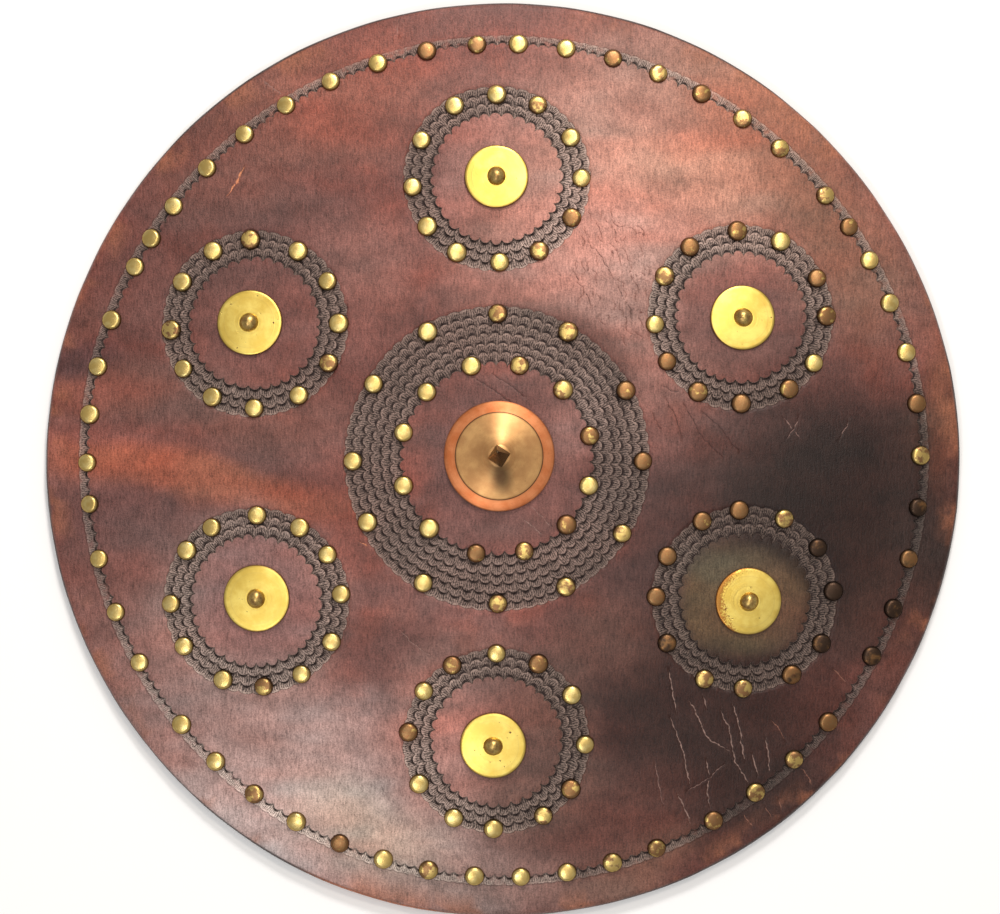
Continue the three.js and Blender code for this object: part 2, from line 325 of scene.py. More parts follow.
def grid_faces(rows, columns, start=0):
    """Quads between the lines of a closed band, counter-clockwise as seen from +Z."""
    index = start + np.arange(rows * columns).reshape(rows, columns)
    after = np.roll(index, -1, 1)
    return np.stack([index[:-1], index[1:], after[1:], after[:-1]], -1).reshape(-1, 4)


def capped(grid, top, bottom):
    """Rings of points from the top down, closed by a point on +Z at each end."""
    rows, sides = grid.shape[:2]
    points = np.vstack([[0, 0, top], grid.reshape(-1, 3), [0, 0, bottom]])
    index = 1 + np.arange(rows * sides).reshape(rows, sides)
    after = np.roll(index, -1, 1)
    tip = np.c_[np.zeros(sides, int), index[0], after[0]]
    foot = np.c_[np.full(sides, len(points) - 1), after[-1], index[-1]]
    return points, [grid_faces(rows, sides, 1), tip, foot]


def lathe(profile, sides, bend=None):
    """A profile of radius and height turned about +Z.

    Point (i, j) is (r_i cos a_j, r_i sin a_j, z_i) with a_j evenly spaced. The first and last
    profile points have no radius, and each is one point, so that the shape is closed. The profile
    runs from the top down. bend may change the grids of radius, angle and height first.
    """
    profile = np.asarray(profile, float)
    r, a = np.meshgrid(profile[1:-1, 0], turned(sides), indexing="ij")
    z = np.repeat(profile[1:-1, 1][:, None], sides, 1)
    if bend:
        r, z = bend(r, a, z)
    return capped(np.stack([r * np.cos(a), r * np.sin(a), z], -1), profile[0, 1], profile[-1, 1])


def upright(points, x, y, lift=0.0, lean=(0.0, 0.0), z=None):
    """Stands points at a place, on the face unless z is given, so that +Z follows the face's slope
    there plus a small lean."""
    up = Vector((2 * FACE_CURVE * x + lean[0], 2 * FACE_CURVE * y + lean[1], 1)).normalized()
    turn = np.array(Vector((0, 0, 1)).rotation_difference(up).to_matrix())
    place = np.array([x, y, face_height(x, y) if z is None else z]) + np.array(up) * lift
    return points @ turn.T + place


def joined(shapes):
    """Several shapes as one: the points in a row, and each face's numbers raised by the points before it."""
    points, groups, start = [], {3: [], 4: []}, 0
    for shape, faces in shapes:
        points.append(shape)
        for group in faces:
            groups[group.shape[1]].append(group + start)
        start += len(shape)
    return np.vstack(points), [np.vstack(g) for g in groups.values() if g]


def scallop(phase, level):
    """An arc on each stamp: the root of 1 - 0.94 u^2 less a level, with u from -1 to 1 on the stamp."""
    u = 2 * (phase % 1) - 1
    return np.sqrt(1 - 0.94 * u * u) - level


def waves(angle, kinds, rng):
    """A sum of sine waves of given counts and heights round a turn, with seeded starts."""
    return sum(height * np.sin(count * angle + rng.uniform(0, 6)) for count, height in kinds)


def ring_band(rows, seed, bulge, depth, width):
    """The grid of a band of crescents stamped in rows round a middle.

    Along row k the stamps are counted by p = N_k a / 2 pi plus a slow drift. The row's inner line is
    r = r_k plus a scallop of p, which bulges outwards. The skin drops there and rises again to the
    next row's line. Returns each line's radius, height, p, place across and share stamped.
    """
    rng = np.random.default_rng(seed)
    inner, count, pitch = rows["inner"], rows["rows"], rows["pitch"]
    angle = turned(rows["samples"])
    flat = 0 * angle
    edges, phases, drops = [], [], []
    for k in range(count + 1):
        radius = inner + k * pitch
        if k < count:
            stamps = round(2 * np.pi * radius / width)
            drift = waves(angle, ((2, 0.16), (5, 0.1)), rng)
            phase = stamps * angle / (2 * np.pi) + drift + rng.uniform(0, 1)
            size = 0.75 + 0.5 * rng.random(stamps + 4)
            phases.append(phase)
        wobble = waves(angle, ((3, 0.22), (7, 0.16)), rng)
        each = size[np.floor(phase).astype(int) % len(size)]
        swell = bulge if k < count else bulge * 0.45
        edges.append(radius + swell * each * scallop(phase, 0.65) + wobble)
        drops.append(depth * (0.7 + 0.3 * each))
    lines = [
        (flat + inner - 3.2, flat, phases[0], -1.0, 0),
        (edges[0] - 0.45, flat + 0.06, phases[0], -0.5, 0),
    ]
    for k, (start, end, drop, phase) in enumerate(zip(edges, edges[1:], drops, phases)):
        crest = 0.36 * depth if k else 0.08
        lines.append((start, flat - crest, phase, k, 1))
        lines.append((start + 0.2, -drop, phase, k + 0.02, 1))
        for share, level in ((0.3, 0.86), (0.68, 0.62)):
            lines.append((start + (end - start) * share, -drop * level, phase, k + share, 1))
    lines.append((edges[-1] - 0.1, flat - 0.42 * depth, phases[-1], count - 0.02, 1))
    lines.append((edges[-1] + 0.35, flat - 0.05, phases[-1], count + 0.1, 0))
    lines.append((flat + inner + count * pitch + 2.2, flat, phases[-1], count + 0.9, 0))
    return [np.array(part, float) for part in zip(*lines)]


def rim_band(rng, bulge, depth):
    """The single row of crescents along the rim, as the same five values as a ring's band."""
    stamps, inner, outer = RIM_ROW["stamps"], RIM_ROW["inner"], RIM_ROW["outer"]
    angle = turned(RIM_ROW["samples"])
    phase = stamps * angle / (2 * np.pi) + 0.3 * np.sin(3 * angle) + 0.2 * np.sin(8 * angle + 1)
    size = (0.7 + 0.6 * rng.random(stamps + 8))[np.floor(phase).astype(int) % stamps]
    arc = inner + bulge * 0.9 * size * scallop(phase, 0.6)
    arc += 0.35 * np.sin(4 * angle + 2) + 0.25 * np.sin(9 * angle)
    lines = [
        (0 * angle + inner - 3.0, 0.0, 9.0, 0.0),
        (arc - 0.4, 0.06, 9.5, 0.0),
        (arc, -0.06, 10.0, 1.0),
        (arc + 0.2, -0.7 * depth, 10.02, 1.0),
        (arc + 1.8, -0.4 * depth, 10.4, 1.0),
        (outer + 0.4 * (arc - inner), -0.05, 10.9, 0.7),
        (0 * angle + outer + 2.2, 0.0, 11.6, 0.0),
    ]
    r, drop, across, stamped = (np.array(part) for part in zip(*lines))
    return r, np.outer(drop, 0.75 + 0.25 * size), np.tile(phase, (len(r), 1)), across, stamped


def stamp_corners(phase, across, stamped):
    """Stamp count along the row, place across and share stamped, at each corner of each quad."""
    first = phase[:-1]
    last = np.roll(first, -1, 1)
    last = np.where(last < first - 5, last + np.round(first - last).clip(0), last)
    low, high, off, on = (
        np.repeat(values[:, None], phase.shape[1], 1)
        for values in (across[:-1], across[1:], stamped[:-1], stamped[1:])
    )
    corners = ((first, low, off), (first, high, on), (last, high, on), (last, low, off))
    return np.stack([np.stack(corner, -1) for corner in corners], -2).reshape(-1, 3)


def rounded_edge():
    """The edge, from the face to the ring that the shield lies on: the outline's radius plus a
    rounded profile of offset and height, a little worn by sine waves."""
    angle = turned(480)
    profile = np.array(
        [
            (-4.6, 8.92), (-3.0, 8.62), (-1.9, 8.15), (-1.0, 7.35), (-0.35, 6.2), (0, 4.7),
            (-0.25, 3.2), (-0.9, 1.8), (-2.1, 0.7), (-4.0, 0.06), (-7.5, 0.0), (-11.4, 0.06),
        ]
    )
    worn = 0.12 * np.sin(37 * angle) * np.sin(5 * angle + 1) + 0.1 * np.sin(61 * angle + 2)
    radius = outline(angle) + profile[:, :1] + worn * (profile[:, 1:] > 5)
    x, y = radius * np.cos(angle), radius * np.sin(angle)
    z = np.repeat(profile[:, 1:], len(angle), 1)
    z[0] = face_height(x[0], y[0])
    z[:3] += unevenness(x[:3], y[:3]) * np.array([[1], [0.6], [0.3]])
    return x, y, np.maximum(z, 0)


def hex_points(reach, spacing, rng):
    """Points of a hexagonal grid inside a circle, each moved by up to an eighth of the spacing."""
    n = int(reach / spacing) + 2
    i, j = np.meshgrid(np.arange(-n, n + 1), np.arange(-n, n + 1), indexing="ij")
    x = (i + 0.5 * (j % 2)) * spacing
    y = j * spacing * math.sqrt(0.75)
    points = np.c_[x.ravel(), y.ravel()]
    points = points + rng.uniform(-1, 1, points.shape) * spacing / 8
    return points[distance(points) < reach]


def filled(loops, extra, holes, outside):
    """Triangles between closed loops and over loose points, apart from the annular holes.

    loops are pairs of point numbers and places, extra the loose places, whose numbers come after
    all others. A triangle is left out where its middle lies in a hole, or where all its corners
    are on the outermost loop.
    """
    numbers = np.concatenate([number for number, _ in loops] + [extra[0]])
    places = np.vstack([place for _, place in loops] + [extra[1]])
    edges, start = [], 0
    for number, _ in loops:
        index = start + np.arange(len(number))
        edges.append(np.c_[index, np.roll(index, -1)])
        start += len(number)
    made = delaunay_2d_cdt(places.tolist(), np.vstack(edges).tolist(), [], 0, 1e-7, True)
    source = np.array([first[0] for first in made[3]])
    faces = numbers[source[np.array(made[2])]]
    at = np.array([tuple(place) for place in made[0]])[np.array(made[2])]
    centre = at.mean(1)
    keep = np.ones(len(faces), bool)
    for middle, low, high in holes:
        away = distance(centre, middle)
        keep &= (away < low) | (away > high)
    keep &= ~np.isin(faces, outside).all(1)
    faces, at = faces[keep], at[keep]
    side, other = at[:, 1] - at[:, 0], at[:, 2] - at[:, 0]
    turned_over = side[:, 0] * other[:, 1] - side[:, 1] * other[:, 0] < 0
    faces[turned_over] = faces[turned_over][:, ::-1]
    return faces


def graded_loops(loops):
    """Sparser circles beside each band's edge, so that the triangles grow away from it."""
    made = []
    for middle, radius, count, side in loops:
        for away, share in ((1.3, 2), (3.4, 3)):
            angle = turned(count // share) + np.pi / (count // share)
            r = radius + side * away
            made.append(np.c_[middle[0] + r * np.cos(angle), middle[1] + r * np.sin(angle)])
    return np.vstack(made)


def cloud(x, y, size, seed, layers=3, rough=0.5):
    """Value noise from 0 to 1: seeded values on a square grid of a size in millimetres, joined by
    smooth steps, with layers that are each half the size and weaker. Each layer is turned."""
    rng = np.random.default_rng(seed)
    total, weight, share = np.zeros_like(x), 0.0, 1.0
    for layer in range(layers):
        table = rng.random((64, 64))
        turn = 0.6 + 1.1 * layer
        gx = (x * math.cos(turn) + y * math.sin(turn)) / size + 200.3
        gy = (y * math.cos(turn) - x * math.sin(turn)) / size + 200.7
        ix, iy = np.floor(gx).astype(int), np.floor(gy).astype(int)
        fx, fy = gx - ix, gy - iy
        fx, fy = fx * fx * (3 - 2 * fx), fy * fy * (3 - 2 * fy)
        left, right = ix % 64, (ix + 1) % 64
        low, high = (table[left, j % 64] * (1 - fx) + table[right, j % 64] * fx for j in (iy, iy + 1))
        total += (low * (1 - fy) + high * fy) * share
        weight += share
        share *= rough
        size /= 2
    return total / weight


def smooth(value, low, high):
    """A smooth step from 0 at low to 1 at high."""
    t = np.clip((value - low) / (high - low), 0, 1)
    return t * t * (3 - 2 * t)


def blended(colour, share, other):
    """Colours moved towards another by a share at each point."""
    return colour + (np.asarray(other) - colour) * np.asarray(share)[:, None]


def dyed_with_painted_light(x, y, colours):
    """The hide's broad colouring at each point: cloudy dye under soft-edged stains, a few of which are
    partly painted sheen and painted shade.

    A stain is a turned ellipse. Its share is a smooth step of the distance from its middle, after
    the point has been moved by slow noise.
    """
    wx = x + (cloud(x, y, 70, 101) - 0.5) * 34
    wy = y + (cloud(x, y, 62, 102) - 0.5) * 34
    mottle = cloud(x, y, 58, 103, 4, 0.55)
    blots = cloud(x, y, 20, 104, 3, 0.6)
    colour = np.tile(np.array(colours.hide_mid[:]), (len(x), 1))
    colour = blended(colour, smooth(mottle, 0.62, 0.36) * 0.5, colours.hide_dark[:])
    colour = blended(colour, smooth(blots, 0.5, 0.75) * 0.4, colours.hide_red[:])
    for middle, reach, turn, soft, strength, tone in STAINS_AND_PAINTED_LIGHT:
        c, s = math.cos(math.radians(turn)), math.sin(math.radians(turn))
        dx, dy = wx - middle[0], wy - middle[1]
        away = np.hypot((dx * c + dy * s) / reach[0], (dy * c - dx * s) / reach[1])
        colour = blended(colour, smooth(away, 1 + soft, 1 - soft) * strength, srgb(*tone))
    fleck = cloud(x, y, 8, 105, 3, 0.6) - 0.5
    streak = cloud(x / 4.2, y, 12, 106, 3, 0.6) - 0.5
    hue = cloud(x / 3, y, 17, 107, 3, 0.6) - 0.5
    colour = colour * (1 + 0.5 * streak + 0.6 * fleck)[:, None]
    colour = colour * (1 + hue[:, None] * np.array([0.36, -0.2, -0.36]))
    away = np.hypot(x, y)
    worn = smooth(away, 234, 247) * smooth(cloud(x, y, 17, 108, 3, 0.6), 0.5, 0.68)
    return blended(colour, worn * 0.5, colours.hide_worn[:])


def marked_lines():
    """Every crack and scratch as points along it, half width, depth and colour.

    A line is sampled every 0.8 mm along its corners and shaken a little across by seeded noise.
    """
    rng = np.random.default_rng(91)
    made = []
    lines = [(corners, *kind) for kind, group in MARKS.items() for corners in group]
    # Crackle: short walks that drift down and to the right, with gaps
    for _ in range(64):
        x, y = rng.uniform(38, 78), rng.uniform(66, 136)
        if x + y * 0.55 < 92 or x + y * 0.3 > 112:
            continue
        turn = math.radians(rng.uniform(-82, -48))
        steps = rng.integers(3, 7)
        bend = turn + rng.normal(0, 0.7, steps)
        step = rng.uniform(0.9, 2.4, steps)
        walk = np.c_[x + np.cumsum(np.cos(bend) * step), y + np.cumsum(np.sin(bend) * step)]
        lines.append((walk, 0.36, 0.25, (100, 54, 46)))
    for corners, half, depth, tone in lines:
        corners = np.array(corners, float).reshape(-1, 2)
        reach = np.r_[0, np.cumsum(np.hypot(*np.diff(corners, axis=0).T))]
        at = np.linspace(0, reach[-1], max(3, int(reach[-1] / 0.8)))
        x, y = np.interp(at, reach, corners[:, 0]), np.interp(at, reach, corners[:, 1])
        slope = np.c_[np.gradient(x), np.gradient(y)]
        slope /= np.hypot(*slope.T)[:, None] + 1e-9
        normal = np.c_[-slope[:, 1], slope[:, 0]]
        shake = np.convolve(rng.normal(0, 0.35, len(at) + 2), (0.25, 0.5, 0.25), "valid")
        line = np.c_[x, y] + normal * shake[:, None]
        size = half * rng.uniform(0.4, 1.5, len(at)) * smooth(np.minimum(at, reach[-1] - at), -1.5, 4)
        made.append((line, normal, size, depth, tone))
    return made


def skin_points(circles, holes, rng):
    """Loose points of the skin between the bands, with each one's height and its colour, if it has one.

    They are a hexagonal grid, circles beside the bands, and lines along each crack and scratch. A
    crack's middle line lies its depth lower and carries its colour.
    """
    loose = hex_points(*FACE_POINTS, rng)
    away = np.full(len(loose), np.inf)
    for middle, radius, _, _ in circles:
        away = np.minimum(away, np.abs(distance(loose, middle) - radius))
    for middle, low, high in holes:
        off = distance(loose, middle)
        away[(off > low) & (off < high)] = 0
    loose = loose[(away > 5.2) & (distance(loose) < 241.5)]
    loose = np.vstack([loose, graded_loops(circles)])
    loose = loose[distance(loose) < FACE_REACH]
    drop, tones = np.zeros(len(loose)), np.full((len(loose), 3), np.nan)
    for line, normal, half, deep, tone in marked_lines():
        near = np.hypot(*(loose[:, None] - line[None]).transpose(2, 0, 1)).min(1) < 1.6
        loose, drop, tones = loose[~near], drop[~near], tones[~near]
        for side, past in ((-1, 0), (0, 0), (1, 0), (-1, -1.1), (1, 1.1)):
            loose = np.vstack([loose, line + normal * (half * side + past)[:, None]])
            drop = np.r_[drop, np.full(len(line), 0 if side else -deep)]
            tones = np.vstack([tones, np.tile([np.nan] * 3 if side else srgb(*tone), (len(line), 1))])
    clear = distance(loose) < FACE_REACH
    for middle, low, high in holes:
        off = distance(loose, middle)
        clear &= (off < low - 0.4) | (off > high + 0.4)
    return loose[clear], drop[clear], tones[clear]


def hide_shape(depth, width, bulge, colours):
    """The whole hide as one closed surface: stamped bands, plain skin between them, edge and back.

    Each band is a grid of lines round its middle. The plain skin between the bands is filled with
    triangles, and the back is the hollow curve. Returns points, face groups, stamp values at face
    corners, the dye with its painted sheen and painted shade, and for each face whether it is on the
    back and whether it is a stamp's wall.
    """
    rng = np.random.default_rng(11)
    bands = [(HUB, *ring_band(HUB_ROWS, 5, bulge, depth, width))]
    for i, ring in enumerate(RINGS.values()):
        bands.append((ring[0], *ring_band(RING_ROWS, 20 + i, bulge, depth, width)))
    bands.append((RIM_MIDDLE, *rim_band(rng, bulge, depth)))
    points, quads, stamps, loops, circles, holes, start = [], [], [], [], [], [], 0
    for middle, r, drop, phase, across, stamped in bands:
        lines, n = r.shape
        x, y = middle[0] + r * np.cos(turned(n)), middle[1] + r * np.sin(turned(n))
        points.append(np.c_[x.ravel(), y.ravel(), (face_height(x, y) + unevenness(x, y) + drop).ravel()])
        quads.append(grid_faces(lines, n, start))
        stamps.append(stamp_corners(phase, across, stamped))
        for row, side in ((0, -1), (lines - 1, 1)):
            loops.append((start + row * n + np.arange(n), np.c_[x[row], y[row]]))
            circles.append((middle, r[row, 0], n, side))
        holes.append((middle, r[0, 0], r[-1, 0]))
        start += r.size
    x, y, z = rounded_edge()
    lines, n = x.shape
    edge_quads = grid_faces(lines, n, start)
    points.append(np.c_[x.ravel(), y.ravel(), z.ravel()])
    outside = start + np.arange(n)
    loops.append((outside, np.c_[x[0], y[0]]))
    back_loop = (outside + (lines - 1) * n, np.c_[x[-1], y[-1]])
    start += x.size
    loose, drop, tones = skin_points(circles, holes, rng)
    points.append(np.c_[loose, face_height(*loose.T) + unevenness(*loose.T) + drop])
    marked = slice(start, start + len(loose))
    face_tris = filled(loops, (start + np.arange(len(loose)), loose), holes, outside)
    start += len(loose)
    loose = hex_points(*BACK_POINTS, rng)
    lumps = unevenness(*loose.T, seed=8, reach=0.5) + 0.3
    points.append(np.c_[loose, face_height(*loose.T, BACK_TOP) + lumps])
    back_tris = filled([back_loop], (start + np.arange(len(loose)), loose), [], back_loop[0])[:, ::-1]
    groups = [np.vstack(quads), edge_quads, face_tris, back_tris]
    across = np.vstack(stamps)[:, 1].reshape(-1, 4)
    plain = 4 * len(edge_quads) + 3 * (len(face_tris) + len(back_tris))
    stamp = np.vstack([*stamps, np.tile([0.0, -3.0, 0.0], (plain, 1))])
    back = np.zeros(sum(len(group) for group in groups), np.int32)
    back[-len(back_tris) :] = 1
    walls = np.zeros(len(back), bool)
    walls[: len(across)] = np.abs(across[:, 1] - across[:, 0] - 0.02) < 0.005
    points = np.vstack(points)
    # dye holds the hide's dye together with the painted sheen and painted shade of a few broad stains
    dye = dyed_with_painted_light(points[:, 0], points[:, 1], colours)
    dye[marked] = np.where(np.isnan(tones), dye[marked], tones)
    return points, groups, stamp, dye, back, walls


# Materials


class Wire:
    """A socket's value in a Python expression. Each operator adds its Math node."""

    def __init__(self, finish, socket):
        self.finish, self.socket = finish, socket

    def math(self, operation, *others):
        return self.finish.node("ShaderNodeMath", {"operation": operation}, [self, *others])

    def __add__(self, other):
        return self.math("ADD", other)

    def __sub__(self, other):
        return self.math("SUBTRACT", other)

    def __rsub__(self, other):
        return self.finish.node("ShaderNodeMath", {"operation": "SUBTRACT"}, [other, self])

    def __mul__(self, other):
        return self.math("MULTIPLY", other)

    __radd__ = __add__
    __rmul__ = __mul__

    def between(self, low, high):
        """0 at low and 1 at high, with a smooth step between them. High may be the lower one."""
        ends = {"Value": self, "From Min": min(low, high), "From Max": max(low, high)}
        step = self.finish.node("ShaderNodeMapRange", {"interpolation_type": "SMOOTHSTEP"}, ends)
        return 1 - step if low > high else step

    def most(self, other):
        return self.math("MAXIMUM", other)


class Finish:
    """A material under construction, with its one shader. Places are in millimetres."""

    def __init__(self, name, colour=None, **constants):
        self.colour = colour
        self.material = bpy.data.materials.new(name)
        self.material.use_nodes = True
        self.tree = self.material.node_tree
        self.tree.nodes.clear()
        self.shader = self.tree.nodes.new("ShaderNodeBsdfPrincipled")
        output = self.tree.nodes.new("ShaderNodeOutputMaterial")
        self.tree.links.new(self.shader.outputs["BSDF"], output.inputs["Surface"])
        for key, value in constants.items():
            self.feed(self.shader.inputs[key.replace("_", " ")], value)
        self.mm = self.scaled(self.node("ShaderNodeTexCoord", out="Object"), 1 / MM)
        self.x, self.y, self.z = self.split(self.mm)

    def feed(self, socket, value):
        """Links a wire to a socket, or sets the socket to a value."""
        if isinstance(value, Wire):
            self.tree.links.new(value.socket, socket)
        else:
            socket.default_value = (*value[:3], 1.0) if socket.type == "RGBA" else value

    def node(self, kind, settings=None, values=(), out=0):
        """Adds a node, sets it, then gives its sockets values or links. Returns one of its outputs."""
        node = self.tree.nodes.new(kind)
        for key, value in (settings or {}).items():
            setattr(node, key, value)
        for key, value in values.items() if isinstance(values, dict) else enumerate(values):
            self.feed(node.inputs[key], value)
        return Wire(self, node.outputs[out])

    def split(self, vector):
        parts = self.node("ShaderNodeSeparateXYZ", {}, [vector]).socket.node.outputs
        return [Wire(self, part) for part in parts]

    def join(self, x, y, z=0.0):
        return self.node("ShaderNodeCombineXYZ", {}, [x, y, z])

    def scaled(self, vector, by):
        return self.node("ShaderNodeVectorMath", {"operation": "SCALE"}, {0: vector, "Scale": by})

    def mix(self, share, first, second):
        """A colour between two colours."""
        return self.node("ShaderNodeMix", {"data_type": "RGBA"}, {0: share, 6: first, 7: second}, out=2)

    def noise(self, size, detail=3.0, rough=0.55, stretch=(1, 1, 1), at=None):
        """Smooth noise with features of about size millimetres, stretched along an axis if asked."""
        shape = [1 / size / share for share in stretch]
        at = self.node("ShaderNodeVectorMath", {"operation": "MULTIPLY"}, [at or self.mm, shape])
        values = {"Vector": at, "Scale": 1.0, "Detail": detail, "Roughness": rough}
        return self.node("ShaderNodeTexNoise", {}, values)

    def value(self, name, out="Fac"):
        return self.node("ShaderNodeAttribute", {"attribute_name": name}, out=out)

    def patch(self, middle, reach, turn, soft):
        """1 inside an ellipse about a middle and 0 outside it, with a soft edge."""
        c, s = math.cos(math.radians(turn)), math.sin(math.radians(turn))
        dx, dy = self.x - middle[0], self.y - middle[1]
        along = (dx * c + dy * s) * (1 / reach[0])
        across = (dy * c - dx * s) * (1 / reach[1])
        return (along * along + across * across).math("SQRT").between(1 + soft, 1 - soft)

    def bump(self, height, distance):
        """Bumps of a height from 0 to 1, with 1 standing distance millimetres high."""
        values = {"Strength": 1.0, "Distance": distance * MM, "Height": height}
        self.feed(self.shader.inputs["Normal"], self.node("ShaderNodeBump", {}, values, out="Normal"))

    def over(self, share, colour):
        """Lays a colour over what is there, by a share from 0 to 1."""
        self.colour = self.mix(share, self.colour, colour)

    def paint(self, roughness):
        """Gives the shader its colour and roughness. Returns the finished material."""
        self.feed(self.shader.inputs["Base Color"], self.colour)
        self.feed(self.shader.inputs["Roughness"], roughness)
        return self.material


def srgb(red, green, blue):
    """A colour from its 0 to 255 screen values, in Blender's linear values."""
    values = np.array([red, green, blue]) / 255
    return tuple(np.where(values < 0.04045, values / 12.92, ((values + 0.055) / 1.055) ** 2.4).tolist())


def hide_finish(colours):
    """Polished hide: its dye with painted sheen and painted shade, fine upright grain, grey stamped
    bands with striated floors, a painted highlight and a line of painted shade and dirt along each
    crescent, and painted shade darkening the edge."""
    f = Finish("stamped_hide", IOR=1.33)
    # dye: the hide's dye with painted sheen and painted shade in a few broad stains
    dye = f.value("dye", out="Color")
    grain = f.noise(1.1, 3, 0.7, stretch=(1, 5, 1))
    pores = f.noise(0.8, 2, 0.6)
    blots = f.noise(4.5, 2, 0.6)
    f.colour = f.scaled(dye, (grain + pores) * 1.5 + blots * 0.5 - 0.75)
    phase, across, stamped = f.split(f.value("stamp", out="Vector"))
    chain = across.between(8.5, 9.0)
    inside = stamped.between(0.3, 0.9) * (1 - chain * blots.between(0.5, 0.72) * 0.7)
    place = across.math("FRACT")
    u = phase.math("FRACT") * 2 - 1
    fan = (u * 20 + blots * 16).math("SINE") * 0.5 + 0.5
    weights = (0.3, 0.55, 0.15)
    light = f.node("ShaderNodeVectorMath", {"operation": "DOT_PRODUCT"}, [dye, weights], out="Value")
    light = light + 0.006
    own = f.mix(0.7, dye, f.join(light * 1.16, light, light * 0.88))
    own = f.mix(0.45 - chain * 0.33, own, colours.stamp)
    rough = fan * pores * 1.4 + pores * 1.3 + blots * 0.6 - 0.75
    tone = f.scaled(own, (rough * 2.05 + chain * 0.25).most(0.15))
    # Painted highlight: a pale lip on the crest just inside each crescent's line
    painted_lip_highlight = place.between(0.68, 0.9) * pores.between(0.3, 0.55) * (1 - u * u * 0.8)
    tone = f.mix(painted_lip_highlight * 0.75, tone, f.scaled(own, 3.0))
    # Painted shade and dirt: a dark line along the wall of each crescent, strongest at its middle
    line = place.between(0.4, 0.18) * (1 - u * u * 0.95)
    tone = f.mix(line, tone, colours.stamp_shade_and_dirt)
    f.over(inside, tone)
    away = (f.x * f.x + f.y * f.y).math("SQRT")
    # Painted shade: the outermost rim of the face darkened where the rounded edge turns away
    rim = away.between(248.4, 249.5)
    f.over(rim * 0.95, colours.edge)
    low_edge = f.patch((-65, -240), (40, 14), -15, 0.5) * rim
    f.over(low_edge * pores.between(0.3, 0.6), srgb(196, 110, 66))
    f.bump(grain * 0.7 + pores * 0.6 + inside * (fan * 0.5 + pores * 1.5 + blots * 1.5), 0.36)
    return f.paint(0.32 + grain * 0.2 + inside * 0.14)


def back_finish(colours):
    """Bare flesh side of the hide: dull, fibrous and stained, with the dye's tide marks."""
    f = Finish("hide_back", colours.back, IOR=1.4)
    mottle = f.noise(60, 6, 0.6)
    fibre = f.noise(1.8, 4, 0.7)
    nap = f.noise(9, 4, 0.6)
    f.over(mottle.between(0.35, 0.65), colours.hide_dark)
    f.over(nap.between(0.45, 0.7) * 0.4, colours.back_pale)
    f.over(fibre.between(0.4, 0.7) * 0.25, colours.back_pale)
    f.bump(fibre * 0.6 + nap * 0.4, 0.5)
    return f.paint(0.72 + fibre * 0.2)


def nail_finish(colours):
    """Brass nail heads, golden where they are rubbed, with brown tarnish by each nail's own amount,
    and painted shade and dirt darkening the rim of each head.
    """
    f = Finish("nail_brass", colours.nail, Metallic=1.0)
    tarnish = f.value("tarnish")
    blot = f.noise(4.4, 3, 0.6)
    speck = f.noise(0.8, 2, 0.6)
    brown = (tarnish + (blot - 0.5) * 1.5).between(0.42, 0.62)
    black = (tarnish + (blot - 0.5) * 0.3).between(0.88, 0.98)
    f.over(blot.between(0.4, 0.7) * 0.5, colours.nail_pale)
    f.over(brown * 0.85, colours.tarnish)
    f.over(brown * speck.between(0.5, 0.7) * 0.4, colours.tarnish_red)
    f.over(black * 0.9, colours.black_tarnish_and_shade)
    # Painted shade and dirt: the rim of each head darkened
    f.over(f.value("rim").between(0.8, 1.0) * 0.75, colours.black_tarnish_and_shade)
    f.bump(blot * 0.6 + speck * 0.4, 0.1)
    return f.paint(0.29 + brown * 0.07 + speck * 0.1)


def roundel_finish(colours):
    """Yellow sheet brass with faint turning, small pits and brown staining from the edge of some, and
    painted shade along the rim of each.
    """
    f = Finish("roundel_brass", colours.roundel, Metallic=1.0)
    across = f.value("radius")
    stain = f.value("stain")
    blot = f.noise(9, 4, 0.6)
    speck = f.noise(0.9, 2, 0.5)
    brush = f.noise(1, 3, 0.5, at=f.join(across * 1.4, blot * 0.3, stain))
    f.over(blot.between(0.35, 0.7), colours.roundel_pale)
    f.over(brush.between(0.5, 0.7) * 0.2, colours.nail)
    # Painted shade: the brass darkened with the tarnish colour along its rim, where it meets the hide
    edge = across.between(16.5, 17.1)
    f.over(edge * 0.8, colours.tarnish)
    pits = f.noise(1.7, 1, 0.4).between(0.71, 0.76) * blot.between(0.5, 0.6)
    f.over(pits, colours.tarnish)
    brown = (stain + (blot - 0.5) * 0.7 + (speck - 0.5) * 0.8).between(0.5, 0.75)
    f.over(brown * 0.85, srgb(158, 96, 44))
    f.bump(brush * 0.7 + speck * 0.3 - pits * 2, 0.08)
    return f.paint(0.28 + blot * 0.16 + speck * 0.05 + brown * 0.05)


def rivet_finish(colours):
    """Dark aged brass, rubbed brighter in blotches."""
    f = Finish("rivet_brass", colours.rivet, Metallic=1.0)
    blot = f.noise(3, 3, 0.6)
    speck = f.noise(0.7, 2, 0.6)
    f.over(blot.between(0.35, 0.65), colours.nail)
    f.over(speck.between(0.5, 0.7) * 0.4, colours.black_tarnish_and_shade)
    f.bump(blot * 0.5 + speck * 0.5, 0.12)
    return f.paint(0.28 + blot * 0.15)


